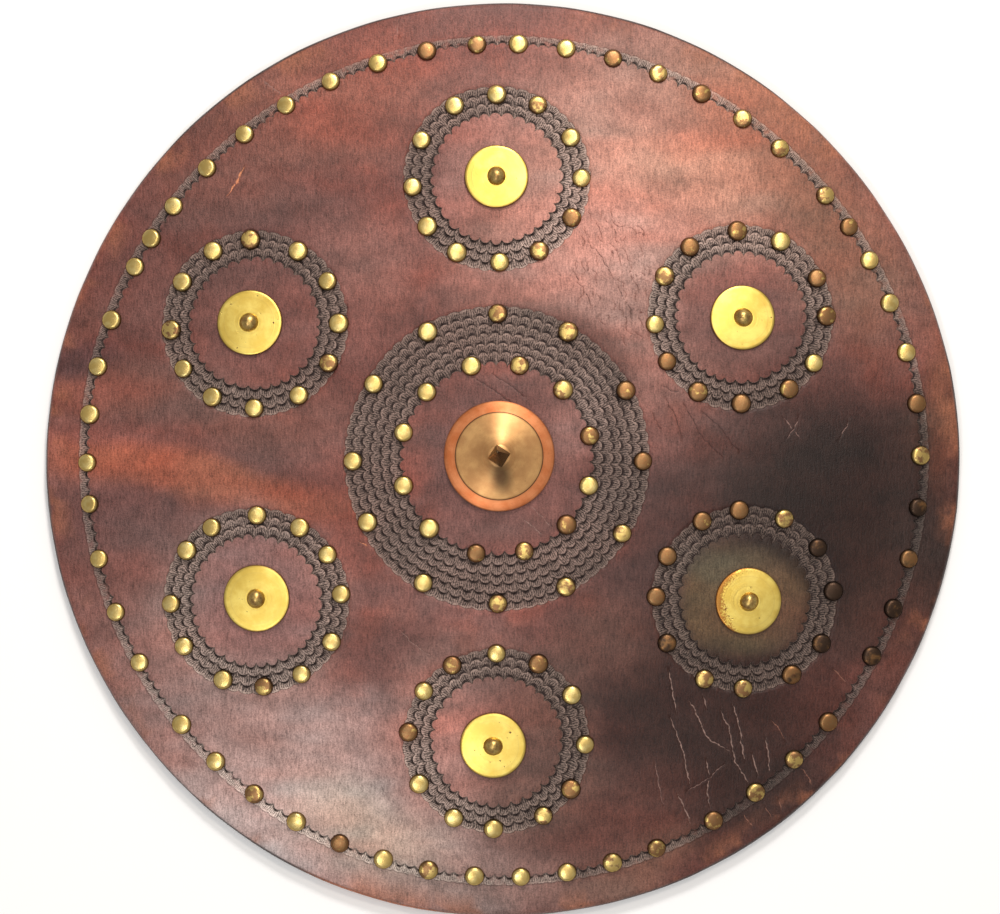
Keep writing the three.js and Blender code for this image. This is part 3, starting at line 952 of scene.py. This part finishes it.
def boss_finish(colours):
    """Turned brass with fine lathe lines, a coppery flange, darker blotches and a painted shadow of
    the spike on the cone below it.
    """
    f = Finish("boss_brass", colours.boss, Metallic=1.0, Anisotropic=0.8, Anisotropic_Rotation=0.25)
    across = f.value("radius")
    blot = f.noise(8, 4, 0.6)
    speck = f.noise(0.9, 3, 0.6)
    lines = f.noise(1, 4, 0.5, at=f.join(across * 2.2, blot * 0.25))
    f.over(blot.between(0.25, 0.85), colours.boss_pale)
    flange = across.between(23.2, 24.2)
    f.over(flange, f.mix(blot.between(0.2, 0.8), colours.flange, colours.flange_pale))
    f.over(lines.between(0.5, 0.7) * 0.25, colours.flange)
    f.over((across - 23.6).math("ABSOLUTE").between(0.5, 0) * 0.8, colours.black_tarnish_and_shade)
    f.over(across.between(29.2, 29.9) * 0.6, colours.tarnish)
    f.over(speck.between(0.62, 0.75) * 0.3, colours.tarnish)
    # Painted shadow of the spike, cast down onto the cone
    painted_spike_shadow = f.patch((-0.8, -8.5), (5.0, 8.5), 12, 0.7)
    f.over(painted_spike_shadow * 0.75, colours.black_tarnish_and_shade)
    f.bump(lines * 0.8 + speck * 0.2, 0.07)
    return f.paint(0.42 + blot * 0.12 + flange * 0.04)


def spike_finish(colours):
    """Dark patinated brass, filed across its facets and rubbed at the corners, with painted shade on
    the facets towards +X.
    """
    f = Finish("spike_brass", colours.spike, Metallic=1.0)
    blot = f.noise(3, 3, 0.6)
    filed = f.noise(0.8, 3, 0.6, stretch=(3, 3, 0.5))
    f.over(blot.between(0.35, 0.7), colours.rivet)
    rub = f.value("corner").between(0.6, 1.0)
    f.over(rub * 0.6, colours.boss_pale)
    # Painted shade: the spike darkened towards +X
    f.over(f.x.between(-4.2, -2.4) * 0.85, colours.black_tarnish_and_shade)
    f.bump(filed, 0.15)
    return f.paint(0.32 + blot * 0.14)


def strap_finish(colours):
    """Plain dark strap leather with creases across its slack middle and burnished edges."""
    f = Finish("strap_leather", colours.strap, IOR=1.45)
    mottle = f.noise(16, 4, 0.6)
    grain = f.noise(1.2, 3, 0.6, stretch=(1, 3, 1))
    crease = f.noise(3.5, 3, 0.6, stretch=(5, 1, 1))
    f.over(mottle.between(0.35, 0.7), colours.strap_pale)
    f.over(grain.between(0.5, 0.75) * 0.3, colours.strap_pale)
    f.over(f.value("edge").between(0.8, 0.95) * 0.6, colours.edge)
    f.bump(grain * 0.4 + crease * 0.6, 0.35)
    return f.paint(0.5 + grain * 0.15)


def floor_finish(colours):
    """Plain pale floor."""
    f = Finish("studio_floor", colours.floor)
    f.over(f.noise(400, 2), (0.96, 0.96, 0.96))
    return f.paint(0.9)


# Settings


def length(name, description, default):
    """A length in metres."""
    return FloatProperty(
        name=name, description=description, default=default, min=0.0, unit="LENGTH", precision=4
    )


def tint(name, description, *tone):
    """A colour, with its default given as 0 to 255 screen values."""
    return FloatVectorProperty(
        name=name, description=description, default=srgb(*tone), size=3, min=0.0, max=1.0, subtype="COLOR"
    )


class ShieldSizes(bpy.types.PropertyGroup):
    stamp_depth: length("Stamp depth", "Drop of the skin at each crescent's line", 0.0015)
    stamp_width: length("Stamp width", "Distance from one cusp to the next", 0.0065)
    stamp_bulge: length("Stamp bulge", "How far each crescent's arc bulges outwards", 0.0036)
    nail_radius: length("Nail radius", "Radius of a nail head", 0.0055)
    nail_height: length("Nail height", "Height of a nail head over the skin", 0.0027)
    nail_sides: IntProperty(
        name="Nail sides", description="Faces round a nail head", default=16, min=8, max=32
    )
    roundel_radius: length("Roundel radius", "Radius of the six brass discs", 0.0173)
    strap_thickness: length("Strap thickness", "Thickness of both straps", 0.003)
    camera_height: length("Camera height", "Height of the camera over the floor", 1.6)


class ShieldColours(bpy.types.PropertyGroup):
    hide_dark: tint("Hide, dark", "Darkest tone of the plain hide", 88, 52, 46)
    hide_mid: tint("Hide, middle", "Middle tone of the plain hide", 124, 80, 73)
    hide_red: tint("Hide, red", "Redder blotches of the hide", 134, 72, 58)
    hide_worn: tint("Hide, worn", "Rubbed hide along the edge", 158, 98, 70)
    # Painted shade along the hide's rounded edge; also the burnished edges of the straps
    edge: tint("Edge", "Dye gathered along the edge", 44, 28, 26)
    back: tint("Back", "Bare flesh side of the hide", 122, 86, 66)
    back_pale: tint("Back, pale", "Raised fibres of the back", 158, 122, 98)
    stamp: tint("Stamps", "Grey-brown floors of the stamped bands", 106, 89, 81)
    # Painted shade and dirt for the line along each crescent
    stamp_shade_and_dirt: tint("Stamps, line", "Line along each crescent", 44, 32, 30)
    nail: tint("Nail brass", "Golden brass of the nails", 204, 174, 104)
    nail_pale: tint("Nail brass, pale", "Rubbed brass of the nails", 236, 218, 152)
    # Also painted as shade along the rims of the roundels
    tarnish: tint("Tarnish", "Brown tarnish", 120, 80, 56)
    tarnish_red: tint("Tarnish, red", "Copper-red tarnish", 160, 88, 60)
    # Black tarnish, also painted as shade on the nail rims, on the spike's facets towards +X and as the
    # spike's shadow
    black_tarnish_and_shade: tint("Tarnish, black", "Black tarnish", 54, 44, 40)
    roundel: tint("Roundel brass", "Yellow sheet brass", 226, 192, 92)
    roundel_pale: tint("Roundel brass, pale", "Pale yellow sheet brass", 240, 214, 116)
    rivet: tint("Rivet brass", "Aged brass of the rivets", 164, 128, 78)
    boss: tint("Boss brass", "Turned brass of the boss", 196, 146, 96)
    boss_pale: tint("Boss brass, pale", "Rubbed brass of the boss", 228, 182, 122)
    flange: tint("Flange brass", "Coppery brass of the boss's flange", 196, 112, 66)
    flange_pale: tint("Flange brass, pale", "Rubbed brass of the flange", 226, 152, 104)
    spike: tint("Spike brass", "Patinated brass of the spike", 72, 50, 34)
    strap: tint("Strap", "Dark strap leather", 74, 44, 34)
    strap_pale: tint("Strap, pale", "Rubbed strap leather", 112, 72, 54)
    floor: FloatVectorProperty(
        name="Floor", description="Pale studio floor", default=(0.94, 0.94, 0.94), size=3,
        min=0.0, max=1.0, subtype="COLOR",
    )


# Operators


class SHIELD_OT_stage(bpy.types.Operator):
    """Set the floor, the lights and the camera"""

    bl_idname = "shield.stage"
    bl_label = "Stage"

    def execute(self, context):
        scene = context.scene
        sizes, colours = scene.shield_sizes, scene.shield_colours
        mesh = bpy.data.meshes.new("floor")
        mesh.from_pydata([(-6, -6, 0), (6, -6, 0), (6, 6, 0), (-6, 6, 0)], [], [(0, 1, 2, 3)])
        floor = bpy.data.objects.new("floor", mesh)
        scene.collection.objects.link(floor)
        floor.data.materials.append(floor_finish(colours))
        lamps = [
            ("overhead", (0.0, 0.1, 2.4), (1.2, 1.0), 10, (1.0, 0.98, 0.95)),
            ("key", (0.2, 1.5, 1.35), (0.4, 0.3), 20, (1.0, 0.97, 0.93)),
            ("warm_lamp", (0.30, 0.68, 1.45), (0.25, 0.2), 5, (1.0, 0.88, 0.76)),
            ("cool_lamp", (-0.33, -0.8, 1.4), (0.25, 0.2), 4, (0.97, 0.98, 1.0)),
        ]
        for name, place, size, power, colour in lamps:
            light = bpy.data.lights.new(name, "AREA")
            light.shape, light.energy, light.color = "RECTANGLE", power, colour
            light.size, light.size_y = size
            lamp = bpy.data.objects.new(name, light)
            lamp.location = place
            aim = Vector((0, 0, 0.02)) - lamp.location
            lamp.rotation_euler = aim.to_track_quat("-Z", "Y").to_euler()
            scene.collection.objects.link(lamp)
        world = bpy.data.worlds.new("studio")
        world.use_nodes = True
        world.node_tree.nodes["Background"].inputs["Color"].default_value = (0.42, 0.41, 0.4, 1)
        scene.world = world
        scene.view_settings.view_transform = "Standard"
        camera = bpy.data.cameras.new("camera")
        camera.sensor_fit, camera.sensor_width = "HORIZONTAL", 36.0
        camera.lens, camera.clip_end = 104.9, 50
        view = bpy.data.objects.new("camera", camera)
        view.location = (-0.00153, 0.00158, sizes.camera_height)
        scene.collection.objects.link(view)
        scene.camera = view
        return {"FINISHED"}


class SHIELD_OT_hide(bpy.types.Operator):
    """Make the stamped hide disc"""

    bl_idname = "shield.hide"
    bl_label = "Hide disc"

    def execute(self, context):
        sizes, colours = context.scene.shield_sizes, context.scene.shield_colours
        points, groups, stamp, dye, back, walls = hide_shape(
            sizes.stamp_depth / MM, sizes.stamp_width / MM, sizes.stamp_bulge / MM, colours
        )
        hide = add_piece("hide", points, groups, hide_finish(colours), "hide", "hide_disc")
        hide.data.materials.append(back_finish(colours))
        set_values(hide, "stamp", stamp, "CORNER")
        set_values(hide, "dye", np.c_[dye, np.ones(len(dye))])
        hide.data.polygons.foreach_set("material_index", back)
        hide.data.polygons.foreach_set("use_smooth", ~walls)
        return {"FINISHED"}


def nail_set(name, places, finish, sizes, material, seed, lift, *nodes):
    """Nail heads of one ring as one piece.

    Each is a lathe of a flattened dome, a little larger or smaller, leaned and turned by seeded
    amounts.
    """
    rng = np.random.default_rng(seed)
    radius, height = sizes.nail_radius / MM, sizes.nail_height / MM
    profile = np.array(
        [(0, 1), (0.62, 0.985), (0.8, 0.88), (0.93, 0.56), (1, 0.1), (0.97, -0.35), (0, -0.35)]
    )
    shapes, tarnish, rim = [], [], []
    for (x, y), letter in zip(places, finish):
        size = radius * rng.uniform(0.95, 1.03)
        points, faces = lathe(profile * (size, height * rng.uniform(0.88, 1.08)), sizes.nail_sides)
        turn = rng.uniform(0, 2 * np.pi)
        c, s = math.cos(turn), math.sin(turn)
        points = points @ np.array([[c, s, 0], [-s, c, 0], [0, 0, 1]])
        shapes.append((upright(points, x, y, lift, rng.normal(0, 0.045, 2)), faces))
        tarnish.append(np.full(len(points), TARNISH[letter] + rng.uniform(-0.08, 0.08)))
        rim.append(distance(points) / size)
    piece = add_piece(name, *joined(shapes), material, "nail_brass", *nodes)
    set_values(piece, "tarnish", np.concatenate(tarnish))
    # rim runs from 0 at a nail's axis to 1 at its edge; near 1 the brass is darkened as painted shade and
    # dirt
    set_values(piece, "rim", np.concatenate(rim))


class SHIELD_OT_nails(bpy.types.Operator):
    """Make the nail heads of the rim, the six rings and the hub"""

    bl_idname = "shield.nails"
    bl_label = "Nails"

    def execute(self, context):
        sizes, material = context.scene.shield_sizes, nail_finish(context.scene.shield_colours)
        bearings = np.concatenate([np.linspace(first, last, len(run)) for first, last, run in RIM_RUNS])
        places = around(RIM_MIDDLE, RIM_NAIL_RADIUS, bearings)
        nail_set("rim_nails", places, "".join(run for *_, run in RIM_RUNS), sizes, material, 40, SEATED)
        for i, (name, (middle, _, radius, finish, bearings)) in enumerate(RINGS.items()):
            places = around(middle, radius, bearings)
            nail_set(f"{name}_nails", places, finish, sizes, material, 50 + i, SEATED)
        for i, (name, finish) in enumerate(HUB_FINISH.items()):
            nodes = sorted(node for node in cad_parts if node.startswith(name))
            places = [middle_of(node)[:2] for node in nodes]
            nail_set(f"{name}s", places, finish, sizes, material, 60 + i, 0.0, *nodes)
        return {"FINISHED"}


class SHIELD_OT_roundels(bpy.types.Operator):
    """Make the six brass roundels"""

    bl_idname = "shield.roundels"
    bl_label = "Roundels"

    def execute(self, context):
        sizes, material = context.scene.shield_sizes, roundel_finish(context.scene.shield_colours)
        plain = sizes.roundel_radius / MM
        for i, (name, ring) in enumerate(RINGS.items()):
            radius = plain * ring[1]
            flat = [(r, 2.05 - 0.55 * (r / radius) ** 2) for r in np.linspace(0, radius - 0.5, 14)]
            edge = [(radius - 0.15, 1.3), (radius, 0.95), (radius, 0.2), (radius - 0.3, -0.6), (0, -0.6)]
            a0, a1 = np.random.default_rng(70 + i).uniform(0, 2 * np.pi, 2)

            def bend(r, a, z):
                """A hand-cut edge and a slightly buckled sheet: low sine waves by angle."""
                cut = 1 + 0.006 * np.sin(2 * a + a0) + 0.004 * np.sin(5 * a + a1)
                return r * cut, z + 0.14 * (r / radius) ** 2 * np.sin(3 * a + a1)

            points, faces = lathe([*flat, *edge], 72, bend)
            node = f"roundel_{name}"
            x, y, _ = middle_of(node)
            placed = upright(points, x, y, 0.3)
            piece = add_piece(f"{node}_sheet", placed, faces, material, "roundel_brass", node)
            across = distance(points) / radius
            set_values(piece, "radius", across * plain)
            towards = 0.5 + 0.5 * np.cos(np.arctan2(points[:, 1], points[:, 0]) - math.radians(170))
            amount = 1.0 if name == "lower_right" else 0.0
            set_values(piece, "stain", amount * towards * across**2)
        return {"FINISHED"}


class SHIELD_OT_rivets(bpy.types.Operator):
    """Make the domed rivets on the roundels and the rivet heads on the straps"""

    bl_idname = "shield.rivets"
    bl_label = "Rivets"

    def execute(self, context):
        material = rivet_finish(context.scene.shield_colours)
        dome = [
            (0, 4.35), (1.1, 4.22), (2.2, 3.85), (3.3, 3.15), (4.25, 2.2), (4.85, 1.15), (5.15, 0.3),
            (5.1, -0.25), (0, -0.25),
        ]
        for i, ring in enumerate(RINGS):
            a0 = np.random.default_rng(80 + i).uniform(0, 2 * np.pi)

            def bend(r, a, z):
                """A hammered dome, a little out of round."""
                return r * (1 + 0.03 * np.sin(2 * a + a0)), z + 0.06 * np.sin(3 * a + a0 + r)

            points, faces = lathe(dome, 28, bend)
            node = f"rivet_{ring}"
            x, y, _ = middle_of(node)
            add_piece(f"{node}_dome", upright(points, x, y, 2.2), faces, material, "rivet_brass", node)
        head = [
            (0, 2.2), (1.6, 2.1), (3.0, 1.75), (4.2, 1.1), (4.9, 0.4), (5.0, 0.0), (4.6, -0.2),
            (0, -0.2),
        ]
        points, faces = lathe(head, 24)
        faces = [group[:, ::-1] for group in faces]
        for node in STRAP_RIVETS:
            x, y, z = middle_of(node)
            placed = upright(points * (1, 1, -1), x, y, 1.05, z=z)
            add_piece(f"{node}_head", placed, faces, material, "rivet_brass", node)
        return {"FINISHED"}


class SHIELD_OT_boss(bpy.types.Operator):
    """Make the turned boss and its square spike"""

    bl_idname = "shield.boss"
    bl_label = "Boss and spike"

    def execute(self, context):
        colours = context.scene.shield_colours
        self.make_boss(colours)
        self.make_spike(colours)
        return {"FINISHED"}

    def make_boss(self, colours):
        """A lathe of the flange, the turned step, the trumpet neck and the collar under the spike."""
        flange = 29.8
        profile = [
            (0, 14.0), (5.2, 14.0), (5.9, 13.85), (6.3, 13.4), (6.8, 12.8), (7.5, 12.05), (8.6, 11.1),
            (10.0, 10.1), (11.8, 9.0), (14.0, 7.85), (17.0, 6.5), (20.0, 5.35), (22.4, 4.5), (23.2, 4.15),
            (23.5, 3.75), (23.55, 3.35), (23.9, 3.15), (25.5, 2.95), (27.5, 2.6), (28.9, 2.15), (29.6, 1.6),
            (flange, 1.0), (flange, 0.2), (29.6, -0.3), (0, -0.3),
        ]

        def bend(r, a, z):
            """A flange a little out of true: low sine waves by angle."""
            edge = (r / flange) ** 4
            return r * (1 + 0.004 * edge * np.sin(3 * a + 1)), z + 0.12 * edge * np.sin(2 * a)

        points, faces = lathe(profile, 128, bend)
        x, y, _ = middle_of("boss")
        placed = points + (x, y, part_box("boss")[0].z / MM + 0.3)
        piece = add_piece("boss_turned", placed, faces, boss_finish(colours), "boss_brass", "boss")
        set_values(piece, "radius", distance(points))

    def make_spike(self, colours):
        """A square spike of four facets with slightly rounded corners.

        Point (i, j) is (r_i c_j, r_i s_j, z_i) with (c_j, s_j) round a square, and the whole leans
        by the 1.5th power of the height.
        """
        low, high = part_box("boss_spike")
        bottom, top = low.z / MM, high.z / MM
        along = np.array([1.0, 0.985, 0.95, 0.8, 0.6, 0.4, 0.2, 0.04, 0.0])
        corner = (0.5, 0.9, 1.25, 2.3, 3.4, 4.5, 5.5, 6.35, 6.3)
        line = np.c_[np.ones(6), np.linspace(-1, 1, 7)[:-1]] / math.sqrt(2)
        turns = [math.radians(57 + 90 * quarter) for quarter in range(4)]
        ring = np.vstack([line @ [[math.cos(t), math.sin(t)], [-math.sin(t), math.cos(t)]] for t in turns])
        reach = distance(ring)
        ring = ring * np.minimum(1, 0.97 / reach)[:, None]
        heights = bottom + (top - bottom) * along
        grid = np.stack([np.c_[ring * r, np.full(len(ring), z)] for r, z in zip(corner, heights)])
        points, faces = capped(grid, top, bottom)
        points[:, :2] += np.outer(((points[:, 2] - bottom) / (top - bottom)) ** 1.5, (-0.8, 2.2))
        points[:, :2] += middle_of("boss_spike")[:2]
        brass = spike_finish(colours)
        piece = add_piece("boss_spike_filed", points, faces, brass, "spike_brass", "boss_spike")
        piece.data.polygons.foreach_set("use_smooth", np.zeros(len(piece.data.polygons), bool))
        near = np.r_[1.0, np.tile(reach, len(along)), 0.5]
        set_values(piece, "corner", (near - 0.7) / 0.3)


class SHIELD_OT_straps(bpy.types.Operator):
    """Make the two straps across the hollow back"""

    bl_idname = "shield.straps"
    bl_label = "Straps"

    def execute(self, context):
        thick = context.scene.shield_sizes.strap_thickness / MM
        material = strap_finish(context.scene.shield_colours)
        for node in ("arm_strap", "hand_strap"):
            self.make_strap(node, thick, material)
        return {"FINISHED"}

    def make_strap(self, node, thick, material):
        """A strap's section carried along its length.

        The section is a flat oblong with rounded edges. Its top follows the hollow back at the
        riveted ends and sinks to a level middle by a smooth step of the distance from the ends.
        """
        low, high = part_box(node)
        reach, width = (high.y - low.y) / 2 / MM, (high.x - low.x) / MM
        steps, across = 90, 13
        y = reach * (0.65 * np.linspace(-1, 1, steps) - 0.35 * np.cos(np.linspace(0, np.pi, steps)))
        side = np.concatenate([np.linspace(-1, 1, across), np.linspace(1, -1, across)])
        under = np.repeat([0.0, 1.0], across)
        inset = np.where(np.abs(side) > 0.99, 0.22, 0.0)
        taper = np.minimum(1, 0.6 + 0.4 * (reach - np.abs(y)) / 9)
        wave = 0.4 * np.sin(y / 17) + 0.25 * np.sin(y / 7 + 1)
        half = (width / 2 - 0.1) * taper
        x = middle_of(node)[0] + half[:, None] * side + (wave * 0.3)[:, None]
        slack = smooth(64 - np.abs(y), 0, 36)[:, None]
        level = (face_height(x, y[:, None], BACK_TOP) - 0.6) * (1 - slack) + 4.8 * slack
        z = level - under * thick + inset * thick * np.where(under > 0.5, 1, -1)
        z = np.maximum(z, low.z / MM)
        ring = len(side)
        grid = np.stack([x, np.repeat(y[:, None], ring, 1), z], -1).reshape(-1, 3)
        index = np.arange(steps * ring).reshape(steps, ring)
        top, below = index[[0, -1], :across], index[[0, -1], :-across - 1:-1]
        first, last = np.stack([top[:, :-1], top[:, 1:], below[:, 1:], below[:, :-1]], -1)
        faces = [grid_faces(steps, ring)[:, [0, 3, 2, 1]], first[:, ::-1], last]
        piece = add_piece(f"{node}_leather", grid, faces, material, "strap_leather", node)
        set_values(piece, "edge", np.tile(np.abs(side), steps))


class SHIELD_PT_panel(bpy.types.Panel):
    bl_idname = "SHIELD_PT_panel"
    bl_label = "Shield"
    bl_space_type = "VIEW_3D"
    bl_region_type = "UI"
    bl_category = "Shield"

    def draw(self, context):
        for operator in OPERATORS:
            self.layout.operator(operator.bl_idname)
        for group in (context.scene.shield_sizes, context.scene.shield_colours):
            for name in group.__annotations__:
                self.layout.prop(group, name)


OPERATORS = (
    SHIELD_OT_stage,
    SHIELD_OT_hide,
    SHIELD_OT_nails,
    SHIELD_OT_roundels,
    SHIELD_OT_rivets,
    SHIELD_OT_boss,
    SHIELD_OT_straps,
)
CLASSES = (ShieldSizes, ShieldColours, *OPERATORS, SHIELD_PT_panel)


def register():
    for each in CLASSES:
        bpy.utils.register_class(each)
    bpy.types.Scene.shield_sizes = PointerProperty(type=ShieldSizes)
    bpy.types.Scene.shield_colours = PointerProperty(type=ShieldColours)


def unregister():
    del bpy.types.Scene.shield_sizes
    del bpy.types.Scene.shield_colours
    for each in reversed(CLASSES):
        bpy.utils.unregister_class(each)


def main():
    register()
    bpy.ops.shield.stage()
    bpy.ops.shield.hide()
    bpy.ops.shield.nails()
    bpy.ops.shield.roundels()
    bpy.ops.shield.rivets()
    bpy.ops.shield.boss()
    bpy.ops.shield.straps()


if __name__ == "__main__":
    main()
